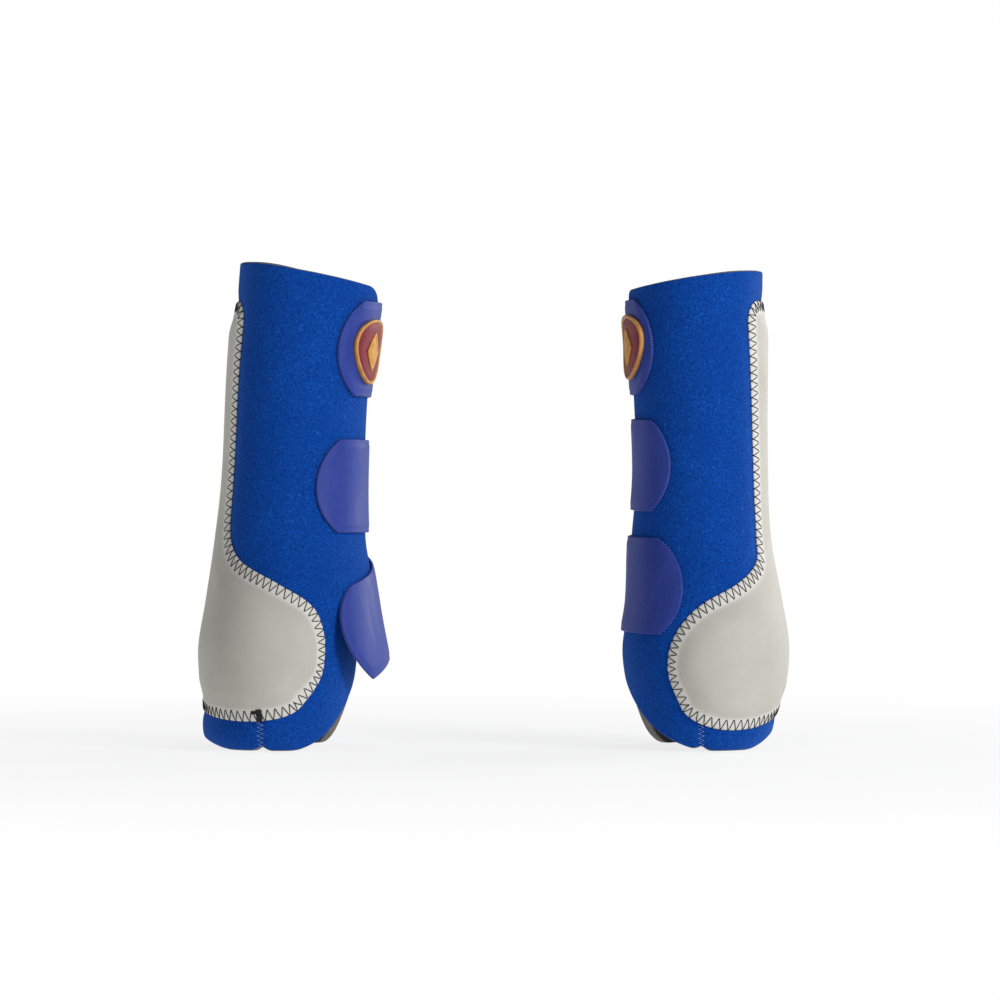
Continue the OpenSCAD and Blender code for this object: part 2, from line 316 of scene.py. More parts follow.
def pad_level(d):
    """The height of the pad's face over the shell, at a distance in from its outline."""
    edge = 0.35 + (EDGE_T - 0.35) * (1 - np.exp(-np.maximum(d, 0) / 0.4))
    belly = (PAD_H - EDGE_T) * smooth((d - MARGIN_W + 1.5) / 13) + 0.9 * smooth((d - 12) / 32)
    return np.where(d > 0, edge + belly, 0) - sink(d)


LEFT = Boot("left", -122.5, 13.5,
            lateral=(36, 39, 41, 42.5, 49, 43.2, 40, 41.2, 46.5),
            medial=(37.5, 44.5, 44, 45.2, 42.3, 39.5, 38.1, 38.1, 36.3),
            near=(19.5, 34.5, 36, 29, 17.5, -5.5, -40, -55.5, -61, -62, -59),
            tabs=((-57, 230.6, 230.6, 54, 0, 0), (-69, 152.5, 152.5, 53, 0, 0), (-51, 91.5, 70, 53, 17.5, 8)),
            seam=-102, seam_top=22.5, rims=(0, 15, -78, 45, 0.78, 5, 25), droop=9.5, badge=(-20.5, 229),
            cut=((0.152, 0.0326), (0.238, 0.0420)))
RIGHT = Boot("right", 120.5, 4,
             lateral=(36, 41, 43.5, 46.2, 42, 39.8, 36.4, 37.8, 40.5),
             medial=(33, 38.5, 43.3, 45.2, 41.4, 36.9, 35.3, 36.6, 38),
             near=(21.5, 29, 27.5, 19, 2, -28, -52.5, -57, -59, -53.5, -46),
             tabs=((-46, 232, 232, 54, 0, 0), (-60.5, 166, 164, 52, 0, 0), (-72, 98, 96, 54, 0, 0)),
             seam=-84, seam_top=19.5, rims=(5, 10.5, -93, 60, 0.62, 9, 11), droop=14.5, badge=(-14.5, 231.8),
             cut=((0.141, 0.0304), (0.252, 0.0416)))
BOOTS = (LEFT, RIGHT)


# ---------------------------------------------------------------- meshes

def make(name, points, faces, materials, indices=None):
    """A smooth-shaded object from points in metres, with its normals outwards."""
    mesh = bpy.data.meshes.new(name)
    mesh.from_pydata(np.asarray(points).reshape(-1, 3).tolist(), [], faces)
    for material in materials:
        mesh.materials.append(material)
    if indices is not None:
        mesh.polygons.foreach_set("material_index", indices)
    shape = bmesh.new()
    shape.from_mesh(mesh)
    bmesh.ops.recalc_face_normals(shape, faces=shape.faces)
    shape.to_mesh(mesh)
    shape.free()
    mesh.polygons.foreach_set("use_smooth", [True] * len(mesh.polygons))
    obj = bpy.data.objects.new(name, mesh)
    bpy.context.scene.collection.objects.link(obj)
    return obj


def rim_of(n, m):
    """The rows and columns of the points round the edge of an n by m grid."""
    bottom = [(0, c) for c in range(m - 1)]
    right = [(r, m - 1) for r in range(n - 1)]
    top = [(n - 1, c) for c in range(m - 1, 0, -1)]
    left = [(r, 0) for r in range(n - 1, 0, -1)]
    return bottom + right + top + left


def sheet_mesh(name, outer, inner, materials, cut=0, bulge=0.0, sewn=None):
    """A closed sheet between two grids of points in metres.

    Its materials are for its face, its cut edge and its back. The cut edge takes up the face's first cut
    steps, except along the first or last column if that one is sewn, and bulges outwards in its middle by a
    share of the sheet's thickness."""
    n, m = outer.shape[:2]
    points = [outer.reshape(-1, 3), inner.reshape(-1, 3)]
    rim = rim_of(n, m)
    rows, cols = np.array(rim).T
    inwards = np.clip(rows, 1, n - 2), np.clip(cols, 1, m - 2)
    out = unit(outer[rows, cols] - outer[inwards])
    thick = np.linalg.norm(outer[rows, cols] - inner[rows, cols], axis=-1, keepdims=True)
    loops = [rows * m + cols]
    for share in (0.3, 0.7):
        middle = mix(outer[rows, cols], inner[rows, cols], share) + out * thick * bulge
        loops.append(len(np.concatenate(points)) + np.arange(len(rim)))
        points.append(middle)
    loops.append(rows * m + cols + n * m)
    faces, indices = [], []
    first, last = (0 if sewn == side else cut for side in ("first", "last"))
    for r in range(n - 1):
        for c in range(m - 1):
            a = r * m + c
            quad = (a, a + 1, a + m + 1, a + m)
            at_edge = min(r, n - 2 - r) < cut or c < first or m - 2 - c < last
            faces += [quad, tuple(i + n * m for i in quad)]
            indices += [1 if at_edge else 0, 2]
    for low, high in zip(loops, loops[1:]):
        for i in range(len(rim)):
            j = (i + 1) % len(rim)
            faces.append((int(low[i]), int(low[j]), int(high[j]), int(high[i])))
            indices.append(1)
    return make(name, np.concatenate(points), faces, materials, indices)


def tubes(paths, up, radius, sides=6):
    """Points and faces of closed tubes, one along each path, with a reference direction for each."""
    paths = np.asarray(paths, float)
    count, steps = paths.shape[:2]
    tangent = unit(np.gradient(paths, axis=1))
    side = unit(np.cross(tangent, np.broadcast_to(up, paths.shape)))
    top = np.cross(side, tangent)
    turn = np.linspace(0, 2 * math.pi, sides, endpoint=False)
    radii = np.broadcast_to(radius, (count, steps))[:, :, None, None]
    ring = np.cos(turn)[:, None] * side[:, :, None, :] + np.sin(turn)[:, None] * top[:, :, None, :]
    points = (paths[:, :, None, :] + radii * ring).reshape(-1, 3)
    faces = []
    for k in range(count):
        start = k * steps * sides
        for s in range(steps - 1):
            for i in range(sides):
                a, b = start + s * sides + i, start + s * sides + (i + 1) % sides
                faces.append((a, b, b + sides, a + sides))
        faces.append(tuple(range(start, start + sides)))
        faces.append(tuple(range(start + (steps - 1) * sides, start + steps * sides)))
    return points, faces


def join(*parts):
    """One list of points and one of faces from several."""
    points, faces, start = [], [], 0
    for some, their_faces in parts:
        faces += [tuple(i + start for i in f) for f in their_faces]
        points.append(np.asarray(some))
        start += len(some)
    return np.concatenate(points), faces


def loft(rings):
    """A closed skin over rings of points, with a flat face at each end."""
    count = len(rings[0])
    faces = [tuple(range(count)), tuple(range((len(rings) - 1) * count, len(rings) * count))]
    for k in range(len(rings) - 1):
        for i in range(count):
            a, b = k * count + i, k * count + (i + 1) % count
            faces.append((a, b, b + count, a + count))
    return np.concatenate(rings), faces


# ---------------------------------------------------------------- materials

def add(tree, kind, inputs, **settings):
    """A shader node, with its inputs linked or set by name or number."""
    node = tree.nodes.new("ShaderNode" + kind)
    for key, value in settings.items():
        setattr(node, key, value)
    for key, value in inputs.items():
        if isinstance(value, bpy.types.NodeSocket):
            tree.links.new(value, node.inputs[key])
        else:
            node.inputs[key].default_value = value
    return node


def noise(tree, scale, detail=2.0, rough=0.6, stretch=None):
    """Noise over the object's own coordinates in metres, as a value from 0 to 1."""
    where = add(tree, "TexCoord", {}).outputs["Object"]
    if stretch is not None:
        where = add(tree, "Mapping", {"Vector": where, "Scale": stretch}).outputs["Vector"]
    inputs = {"Vector": where, "Scale": scale, "Detail": detail, "Roughness": rough}
    return add(tree, "TexNoise", inputs).outputs["Fac"]


def cells(tree, scale):
    where = add(tree, "TexCoord", {}).outputs["Object"]
    return add(tree, "TexVoronoi", {"Vector": where, "Scale": scale}, feature="F1").outputs["Distance"]


def between(tree, value, low, high, to_low=0.0, to_high=1.0):
    """A value's place between low and high, mapped to another range."""
    inputs = {"Value": value, "From Min": low, "From Max": high, "To Min": to_low, "To Max": to_high}
    return add(tree, "MapRange", inputs).outputs["Result"]


def blend_colours(tree, factor, a, b, kind="MIX"):
    node = add(tree, "Mix", {0: factor, 6: a, 7: b}, data_type="RGBA", blend_type=kind)
    return node.outputs[2]


def maths(tree, operation, a, b=0.0):
    return add(tree, "Math", {0: a, 1: b}, operation=operation).outputs["Value"]


def rgb(r, g, b):
    """A linear colour."""
    return (r, g, b, 1.0)


def material(name, roughness, **sockets):
    """A new principled material: its tree and its shader node."""
    made = bpy.data.materials.new(name)
    made.use_nodes = True
    shader = made.node_tree.nodes["Principled BSDF"]
    shader.inputs["Roughness"].default_value = roughness
    for key, value in sockets.items():
        shader.inputs[key.replace("_", " ")].default_value = value
    return made, made.node_tree, shader


def relief(tree, shader, height, depth, strength=1.0):
    """Bumps of a given depth in metres on a shader."""
    node = add(tree, "Bump", {"Strength": strength, "Distance": depth, "Height": height})
    tree.links.new(node.outputs["Normal"], shader.inputs["Normal"])


def pile_material():
    """Brushed royal-blue loop pile: matt fibres with pale tips and a soft sheen."""
    made, tree, shader = material("royal_blue_pile", 0.92, Specular_IOR_Level=0.07, Sheen_Weight=0.34,
                                  Sheen_Roughness=0.36, Sheen_Tint=rgb(0.13, 0.38, 1.0))
    fibres = noise(tree, 820, 3.0, 0.8)
    tufts = noise(tree, 380, 2.0, 0.6)
    brushed = noise(tree, 42, 3.0, 0.6)
    colour = blend_colours(tree, between(tree, fibres, 0.33, 0.69), rgb(0.001, 0.022, 0.160),
                           rgb(0.004, 0.082, 0.44))
    colour = blend_colours(tree, between(tree, brushed, 0.35, 0.7, 0.0, 0.4), colour, rgb(0.001, 0.036, 0.24))
    tips = between(tree, maths(tree, "ADD", fibres, maths(tree, "MULTIPLY", tufts, 0.6)), 0.93, 1.14, 0.0, 0.5)
    colour = blend_colours(tree, tips, colour, rgb(0.018, 0.17, 0.68))
    # Sparse pale flecks over the pile: partly lint, partly painted glints.
    lint_and_glints = between(tree, cells(tree, 95), 0.045, 0.02, 0.0, 0.4)
    colour = blend_colours(tree, lint_and_glints, colour, rgb(0.16, 0.34, 0.8))
    tree.links.new(colour, shader.inputs["Base Color"])
    height = maths(tree, "ADD", fibres, maths(tree, "MULTIPLY", tufts, 0.8))
    relief(tree, shader, height, 0.0006, 0.8)
    return made


def foam_material(name, light, dark):
    """Cut foam: fine open cells."""
    made, tree, shader = material(name, 0.88, Specular_IOR_Level=0.25)
    pores = cells(tree, 1500)
    colour = blend_colours(tree, between(tree, pores, 0.15, 0.6), rgb(*dark), rgb(*light))
    colour = blend_colours(tree, between(tree, noise(tree, 90), 0.3, 0.7, 0.0, 0.35), colour, rgb(*dark))
    tree.links.new(colour, shader.inputs["Base Color"])
    relief(tree, shader, pores, 0.0003, 0.8)
    return made


def lining_material():
    """Black knitted lining: fine ribs with a soft sheen."""
    made, tree, shader = material("black_knit", 0.72, Specular_IOR_Level=0.3, Sheen_Weight=0.35,
                                  Sheen_Roughness=0.5, Sheen_Tint=rgb(0.5, 0.52, 0.6))
    stitches = cells(tree, 950)
    fuzz = noise(tree, 2200, 2.0, 0.7)
    colour = blend_colours(tree, between(tree, stitches, 0.1, 0.6), rgb(0.020, 0.020, 0.024),
                           rgb(0.006, 0.006, 0.008))
    colour = blend_colours(tree, between(tree, fuzz, 0.5, 0.8, 0.0, 0.5), colour, rgb(0.035, 0.036, 0.042))
    tree.links.new(colour, shader.inputs["Base Color"])
    relief(tree, shader, stitches, 0.0003, 0.6)
    return made


def pad_material():
    """Warm grey synthetic suede, paler where the stitching presses it flat."""
    made, tree, shader = material("grey_suede", 0.7, Specular_IOR_Level=0.35, Sheen_Weight=0.12,
                                  Sheen_Roughness=0.5, Sheen_Tint=rgb(1.0, 0.98, 0.94))
    nap = noise(tree, 2600, 3.0, 0.7)
    cloud = noise(tree, 34, 4.0, 0.6)
    colour = blend_colours(tree, between(tree, cloud, 0.3, 0.7), rgb(0.420, 0.403, 0.358),
                           rgb(0.485, 0.468, 0.422))
    colour = blend_colours(tree, between(tree, nap, 0.35, 0.7, 0.0, 0.35), colour, rgb(0.40, 0.385, 0.345))
    pressed = add(tree, "Attribute", {}, attribute_name="pressed").outputs["Fac"]
    colour = blend_colours(tree, between(tree, pressed, 0.0, 1.0, 0.0, 0.8), colour, rgb(0.64, 0.63, 0.59))
    tree.links.new(colour, shader.inputs["Base Color"])
    relief(tree, shader, nap, 0.00018, 0.6)
    return made


def thread_material(name, light, dark):
    """Twisted sewing thread."""
    made, tree, shader = material(name, 0.6, Specular_IOR_Level=0.3, Sheen_Weight=0.06, Sheen_Roughness=0.4)
    twist = noise(tree, 2600, 1.0, 0.5)
    colour = blend_colours(tree, between(tree, twist, 0.35, 0.65), rgb(*dark), rgb(*light))
    tree.links.new(colour, shader.inputs["Base Color"])
    relief(tree, shader, twist, 0.0002, 0.7)
    return made


def band_material():
    """The smooth back of moulded nylon hook band, with fine marks along it."""
    made, tree, shader = material("violet_band", 0.5, Specular_IOR_Level=0.13, Sheen_Weight=0.04,
                                  Sheen_Roughness=0.35, Sheen_Tint=rgb(0.6, 0.62, 1.0))
    grain = noise(tree, 900, 3.0, 0.7)
    marks = noise(tree, 120, 3.0, 0.6, stretch=(1.0, 1.0, 0.25))
    colour = blend_colours(tree, between(tree, grain, 0.3, 0.7), rgb(0.020, 0.038, 0.225),
                           rgb(0.029, 0.051, 0.275))
    colour = blend_colours(tree, between(tree, marks, 0.45, 0.75, 0.0, 0.5), colour, rgb(0.038, 0.066, 0.32))
    tree.links.new(colour, shader.inputs["Base Color"])
    tree.links.new(between(tree, marks, 0.3, 0.7, 0.42, 0.58), shader.inputs["Roughness"])
    relief(tree, shader, grain, 0.0001, 0.5)
    return made


def moulded_material(name, light, dark, roughness=0.45, shine=0.45):
    """Soft moulded rubber or nylon, with a faint grain."""
    made, tree, shader = material(name, roughness, Specular_IOR_Level=shine)
    grain = noise(tree, 1400, 3.0, 0.6)
    wear = noise(tree, 260, 2.0, 0.6)
    colour = blend_colours(tree, between(tree, wear, 0.35, 0.7), rgb(*dark), rgb(*light))
    tree.links.new(colour, shader.inputs["Base Color"])
    worn = between(tree, grain, 0.2, 0.8, roughness - 0.08, roughness + 0.12)
    tree.links.new(worn, shader.inputs["Roughness"])
    relief(tree, shader, grain, 0.0001, 0.5)
    return made


PILE = pile_material()
CUT_EDGE = foam_material("neoprene_edge", (0.20, 0.18, 0.17), (0.09, 0.08, 0.08))
LINING = lining_material()
SUEDE = pad_material()
BLACK_THREAD = thread_material("black_thread", (0.012, 0.011, 0.013), (0.003, 0.003, 0.004))
SKY_THREAD = thread_material("sky_thread", (0.15, 0.30, 0.70), (0.06, 0.15, 0.50))
NAVY_THREAD = thread_material("navy_thread", (0.025, 0.06, 0.30), (0.012, 0.03, 0.18))
BAND = band_material()
HOOKS = moulded_material("hook_nylon", (0.06, 0.08, 0.32), (0.04, 0.055, 0.24))
PIPS = moulded_material("hook_pips", (0.32, 0.34, 0.72), (0.20, 0.22, 0.56))
BADGE_RIM = moulded_material("gold_rubber", (0.54, 0.25, 0.060), (0.40, 0.18, 0.042), 0.42, 0.35)
BADGE_FIELD = moulded_material("maroon_rubber", (0.22, 0.014, 0.026), (0.15, 0.009, 0.018), 0.5, 0.25)
BADGE_EMBLEM = moulded_material("yellow_rubber", (0.60, 0.29, 0.032), (0.47, 0.21, 0.022), 0.42, 0.3)


# ---------------------------------------------------------------- the shell and its lining

def rear_edge(z):
    return 0 * z + REAR_EDGE


def flap_edge(z):
    return 0 * z + FLAP_EDGE - TURN


def panel_grid(boot, start, end, middle, outer, rounding):
    """A grid of points over a part of the shell, from one edge to another, at a height over its face.

    rounding is the radius at the first and the last column."""
    v = spread(BOOT_H, SHELL_ROWS)[:, None]
    z = v * BOOT_H
    first, last = start(z), end(z)
    width = np.abs(last - first) * boot.mm_per_degree(z)
    s = spread(width[:, 0], middle)
    t = mix(first, last, s)
    low, high = boot.rim_bottom(t), boot.rim_top(t)
    to_seam = np.abs(t - boot.seam(z)) * boot.mm_per_degree(z)
    z = mix(low, high, v) + 2.2 * bump(to_seam, 3.5) * (1 - smooth(v * BOOT_H / 12))
    off = outer
    if outer == 0:
        fall = np.maximum(corner(v * (high - low), PILE_ROUND), corner((1 - v) * (high - low), PILE_ROUND))
        sides = np.maximum(corner(s * width, rounding[0]), corner((1 - s) * width, rounding[1]))
        off = -np.maximum(fall, sides)
    pucker = boot.groove(to_seam, z)
    d, _ = distance(boot.surface(t, z, 0), boot.outline)
    return boot.surface(t, z, off - (sink(d) + pucker) * (1 if outer == 0 else 0.35))


def shell_piece(boot, piece, start, end, middle, rounding, sewn):
    """A panel of neoprene with its pile face, and the lining behind it."""
    face = panel_grid(boot, start, end, middle, 0, rounding)
    back = panel_grid(boot, start, end, middle, -FOAM_T + 0.05, rounding)
    panel = sheet_mesh(boot.name(piece + "_shell"), boot.place(face), boot.place(back),
                       [PILE, CUT_EDGE, CUT_EDGE], cut=2, bulge=0.05, sewn=sewn)
    front = panel_grid(boot, start, end, middle, -FOAM_T, rounding)
    inside = panel_grid(boot, start, end, middle, -FOAM_T - LINING_T, rounding)
    lining = sheet_mesh(boot.name(piece + "_lining_skin"), boot.place(front), boot.place(inside),
                        [LINING, LINING, LINING], bulge=0.1)
    return panel, lining


def fold_blend(piece, boot):
    """Bakes a piece's transform into its mesh; the piece is not bent at the fold down the front."""
    fold = boot.place(np.array([boot.lean / 2, FRONT_Y, BOOT_H / 2]))
    boot.name("shell")
    boot.name("flap")
    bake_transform(piece)


for boot in BOOTS:
    rear, rear_lining = shell_piece(boot, "rear", rear_edge, boot.seam, REAR_COLUMNS,
                                    (PILE_ROUND, SEAM_ROUND), "last")
    wrap, wrap_lining = shell_piece(boot, "wrap", boot.seam, flap_edge, WRAP_COLUMNS,
                                    (SEAM_ROUND, PILE_ROUND), "first")
    for piece, node in ((rear, "rear_panel"), (rear_lining, "rear_lining")):
        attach(piece, boot.name("shell"))
        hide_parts(boot.name(node))
    for piece, nodes in ((wrap, ("medial_panel", "front_flap")),
                         (wrap_lining, ("medial_lining", "flap_lining"))):
        fold_blend(piece, boot)
        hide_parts(*(boot.name(node) for node in nodes))


# ---------------------------------------------------------------- the strike pad

PAD_STEPS = np.array((0, 0.2, 0.5, 0.9, 1.5, 2.3, 3.1, 3.9, 4.7, 5.5, 6.2, 6.9, 7.7, 8.7, 9.8, 11, 12.4, 14))


def pad_surface(boot, height):
    """A grid over the pad, at a height given by the distance in from its outline."""
    v = spread(PAD_TOP - PAD_Z[0], 190, PAD_STEPS)[:, None]
    z = mix(PAD_Z[0], PAD_TOP, v)
    near, far = (boot.pad_place(u, z)[0] for u in (0.0, 1.0))
    width = np.abs(far - near) * boot.mm_per_degree(z)
    t, z = boot.pad_place(spread(np.maximum(width[:, 0], 30), 30, PAD_STEPS), z)
    d, nearest = distance(boot.surface(t, z, 0), boot.outline)
    return boot.surface(t, z, height(d, nearest)), d


def gathered(d, nearest):
    """The pad's face, with a small dimple at each stitch's inner end."""
    dimple = np.cos(2 * math.pi * nearest * OUTLINE_STEP / STITCH_PITCH) * bump(d - MARGIN_W, 2.2)
    return pad_level(d) - 0.16 * dimple


for boot in BOOTS:
    face, d = pad_surface(boot, gathered)
    under, _ = pad_surface(boot, lambda d, nearest: 0.08 - sink(d))
    cover = sheet_mesh(boot.name("pad_suede"), boot.place(face), boot.place(under), [SUEDE, SUEDE, SUEDE])
    pressed = np.zeros(len(cover.data.vertices), np.float32)
    pressed[:d.size] = (1 - smooth((d - MARGIN_W + 1.5) / 3)).ravel()
    cover.data.attributes.new("pressed", "FLOAT", "POINT").data.foreach_set("value", pressed)
    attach(cover, boot.name("shell"))
    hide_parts(boot.name("strike_pad_cover"), boot.name("strike_pad_foam"))


# ---------------------------------------------------------------- stitching

def on_outline(boot, along, inwards, height):
    """Points over the shell, at a distance along the pad's outline and another in from it."""
    line = boot.outline
    place = along / OUTLINE_STEP % len(line)
    i = np.floor(place).astype(int) % len(line)
    j = (i + 1) % len(line)
    share = (place - np.floor(place))[..., None]
    tangent = unit(np.roll(line, -3, axis=0) - np.roll(line, 3, axis=0))
    t, z = boot.invert(line)
    normal = unit(boot.surface(t, z, 1) - boot.surface(t, z, 0))
    inward = np.cross(tangent, normal)
    if (inward * (line.mean(0) - line)).sum() < 0:
        inward = -inward
    at = mix(line[i], line[j], share) + mix(inward[i], inward[j], share) * inwards[..., None]
    return boot.surface(*boot.invert(at), height)


for boot in BOOTS:
    length = len(boot.outline) * OUTLINE_STEP
    stitches = 2 * round(length / STITCH_PITCH)
    step = length / stitches
    k = np.arange(stitches)[:, None]
    share = np.linspace(0, 1, 9)[None, :]
    reach = np.where(k % 2 == 0, mix(-STITCH_OUT, STITCH_IN, share), mix(STITCH_IN, -STITCH_OUT, share))
    lift = 0.4 * THREAD_R - 0.6 * bump(share, 0.09) - 0.6 * bump(1 - share, 0.09)
    paths = on_outline(boot, (k + share) * step, reach, pad_level(reach) + lift + 0.12 * bump(reach, 0.6))
    points, faces = tubes(boot.place(paths), unit(np.gradient(boot.place(paths), axis=1))[:, :, [1, 2, 0]],
                          THREAD_R * MM)
    zigzag = make(boot.name("pad_zigzag"), points, faces, [BLACK_THREAD])
    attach(zigzag, boot.name("shell"))
    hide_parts(boot.name("pad_stitching"))


def seam_paths(boot, low, high, width, pitch, height, wobble):
    """Stitches to and fro across the seam between two heights, each a little out of line."""
    count = int((high - low) / pitch * 2)
    k = np.arange(count)[:, None]
    share = np.linspace(0, 1, 7)[None, :]
    z = low + (k + share) * pitch / 2
    across = width / 2 * np.where(k % 2 == 0, 1 - 2 * share, 2 * share - 1)
    across = across + wobble * np.sin(2.3 * k + 0.7 * share)
    t = boot.seam(z) + across / boot.mm_per_degree(z)
    lift = height - 0.5 * bump(share, 0.12) - 0.5 * bump(1 - share, 0.12)
    return boot.surface(t, z, lift - boot.groove(across, z))


for boot in BOOTS:
    paths = seam_paths(boot, SEAM_STITCH_LOW, boot.seam_top, SEAM_STITCH_W, SEAM_STITCH_PITCH,
                       height=0.12, wobble=0.35)
    points, faces = tubes(boot.place(paths), UP, SEAM_THREAD_R * MM)
    seam = make(boot.name("seam_zigzag"), points, faces, [SKY_THREAD])
    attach(seam, boot.name("shell"))
    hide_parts(boot.name("seam_stitching"))


def bar_tack(boot):
    """The dense black tack over the seam where it meets the pad."""
    cross = seam_paths(boot, *TACK_Z, TACK_W, TACK_PITCH, TACK_HEIGHT, wobble=0.3)
    share = np.linspace(0, 1, 7)
    arm_z = ARM_Z + np.arange(ARM_THREADS)[:, None] * 0.45 - 0.5 * share
    arm_t = boot.seam(arm_z) - (1.0 + ARM_LENGTH * share) / boot.mm_per_degree(arm_z)
    arm = boot.surface(arm_t, arm_z, 1.35 - 0.7 * bump(share, 0.1) - 0.7 * bump(1 - share, 0.1))
    return join(tubes(boot.place(cross), UP, TACK_THREAD_R * MM),
                tubes(boot.place(arm), UP, ARM_THREAD_R * MM))


tack = make("left_bar_tack_threads", *bar_tack(LEFT), [BLACK_THREAD])
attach(tack, "left_shell")
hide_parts("left_pad_bar_tack")


# ---------------------------------------------------------------- the hook tabs

TAB_NAMES = ("top", "middle", "lower")


def tab_surface(boot, tab, u, w, off):
    """A point on a tab: u is 0 at the fold of its sewn end and 1 at its free end, w is -1 to 1 up it."""
    end, root_z, end_z, width, lift, slant = tab
    middle, half = mix(root_z, end_z, u), width / 2
    z = middle + w * half
    fall = TAB_END_R - np.sqrt(TAB_END_R ** 2 - (w * half) ** 2)
    stop = end + fall / boot.mm_per_degree(z) - slant * w
    t = np.where(u > 0, mix(TAB_ROOT, stop, u), mix(TAB_ROOT, end, u))
    if not lift:
        return boot.surface(t, z, off)
    raised = lift * smooth(1.8 * u) * (1.1 - 0.25 * u)
    straight = mix(boot.surface(t, middle - half, off + raised), boot.surface(t, middle + half, off),
                   ((1 + w) / 2)[..., None])
    return mix(boot.surface(t, z, off + raised * (1 - w) / 2), straight, smooth(2 * u)[..., None])


def tab_length(boot, tab):
    return (TAB_ROOT - tab[0]) * float(boot.mm_per_degree(tab[2]))


def tab_grid(boot, tab, face):
    length, width = tab_length(boot, tab), tab[3]
    start = -SEWN_W / length
    u = mix(start, 1, spread(length + SEWN_W, 64))[None, :]
    v = spread(width, 34)[:, None]
    from_end = np.minimum((1 - u) * length, (u - start) * length)
    from_side = np.minimum(v, 1 - v) * width
    edge = np.minimum(from_end, from_side)
    down = 0.9 * (1 - smooth((u * length + 6) / 12))
    low = BAND_LOW - down - 0.35 * bump(np.maximum(edge - 0.6, 0), 2.0) * smooth(u * 3)
    if face:
        pressed = 0.16 * bump(edge - 2.4, 0.5)
        return tab_surface(boot, tab, u, 2 * v - 1, low + BAND_HIGH - BAND_LOW - corner(edge, 0.55) - pressed)
    return tab_surface(boot, tab, u, 2 * v - 1, low + 0 * v)


def hook_field(boot, tab, rng):
    """Rows of small bent hooks under a tab's free half, and the pips of hook tape along its end."""
    length, width = tab_length(boot, tab), tab[3]
    u = np.arange(0.5, 1 - 2.0 / length, HOOK_PITCH / length)
    w = np.arange(-1 + 3.0 / width, 1 - 3.0 / width, 2 * HOOK_PITCH / width)
    u, w = (g.ravel() for g in np.meshgrid(u, w))
    u = u + rng.uniform(-0.25, 0.25, u.size) / length
    w = w + rng.uniform(-0.5, 0.5, w.size) / width
    du = np.array((0, 0, 0.25, 0.6))[None, :] / length
    heights = np.array((BAND_LOW + 0.1, HOOK_TIP + 0.35, HOOK_TIP, HOOK_TIP + 0.25))[None, :]
    paths = tab_surface(boot, tab, u[:, None] + du, w[:, None] + 0 * du, heights - 0.1)
    pip_w = np.arange(-1 + PIP_PITCH / width, 1 - PIP_PITCH / width, 2 * PIP_PITCH / width)[:, None]
    pip_u = 1 + np.array((-0.8, 0.12))[None, :] / length
    pips = tab_surface(boot, tab, pip_u + 0 * pip_w, pip_w + 0 * pip_u, BAND_LOW - 0.3)
    hooks = tubes(boot.place(paths), UP, HOOK_R * MM, sides=4)
    ends = tubes(boot.place(pips), UP, PIP_R * MM)
    points, faces = join(hooks, ends)
    return points, faces, [0] * len(hooks[1]) + [1] * len(ends[1])


def sewn_lines(boot, tab):
    """Two rows of stitches across a tab's sewn end."""
    length, width = tab_length(boot, tab), tab[3]
    w = np.arange(-1 + 6.0 / width, 1 - 6.0 / width, 2 * ROOT_STITCH_PITCH / width)[:, None]
    share = np.linspace(0, 1, 6)[None, :]
    lift = 0.12 - 0.5 * bump(share, 0.14) - 0.5 * bump(1 - share, 0.14)
    rows = []
    for row in ROOT_ROWS:
        u = 0 * w - row / length + 0 * share
        rows.append(tab_surface(boot, tab, u, w + share * 2 * ROOT_STITCH / width, BAND_HIGH - 0.9 + lift))
    return tubes(boot.place(np.concatenate(rows)), (1.0, 0.0, 0.0), ROOT_THREAD_R * MM)


for boot in BOOTS:
    rng = np.random.default_rng(7)
    seams = []
    for label, tab in zip(TAB_NAMES, boot.tabs):
        band = sheet_mesh(boot.name(label + "_band"), boot.place(tab_grid(boot, tab, True)),
                          boot.place(tab_grid(boot, tab, False)), [BAND, BAND, HOOKS], bulge=0.08)
        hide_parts(boot.name(label + "_tab"))
        start = boot.place(boot.surface(TAB_ROOT + 3, tab[1], BAND_HIGH))
        end = boot.place(boot.surface(TAB_ROOT - 5, tab[1], BAND_HIGH))
        boot.name("flap")
        boot.name(label + "_strap")
        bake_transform(band)
        points, faces, indices = hook_field(boot, tab, rng)
        hooks = make(boot.name(label + "_hook_field"), points, faces, [HOOKS, PIPS], indices)
        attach(hooks, boot.name(label + "_strap"))
        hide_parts(boot.name(label + "_hooks"))
        seams.append(sewn_lines(boot, tab))
    seam = make(boot.name("tab_root_threads"), *join(*seams), [NAVY_THREAD])
    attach(seam, boot.name("flap"))
    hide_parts(boot.name("tab_root_stitching"))


# ---------------------------------------------------------------- the badge

ROUND = np.linspace(0, 2 * math.pi, 96, endpoint=False)


def egg(inset):
    """The badge's outline, wider at the top, moved in by a distance."""
    x = (BADGE_W / 2 - inset) * np.cos(ROUND) * (1 + 0.24 * np.sin(ROUND))
    return x, (BADGE_H / 2 - inset) * np.sin(ROUND)


def lozenge(inset):
    """A plain lozenge with softened corners, moved in by a distance."""
    power = 1.15
    reach = (np.abs(np.cos(ROUND)) ** power + np.abs(np.sin(ROUND)) ** power) ** (-1 / power)
    x = (LOZENGE_W / 2 - inset) * reach * np.cos(ROUND)
    return x, (LOZENGE_H / 2 - 1.4 * inset) * reach * np.sin(ROUND)


def badge_part(boot, outline, profile):
    """A moulded part of the badge, from a profile of insets and heights over the tab."""
    rings = []
    centre, z = boot.badge
    for inset, height in profile:
        x, y = outline(inset)
        rings.append(boot.place(boot.surface(centre + x / boot.mm_per_degree(z), z + y, BAND_HIGH + height)))
    return loft(rings)


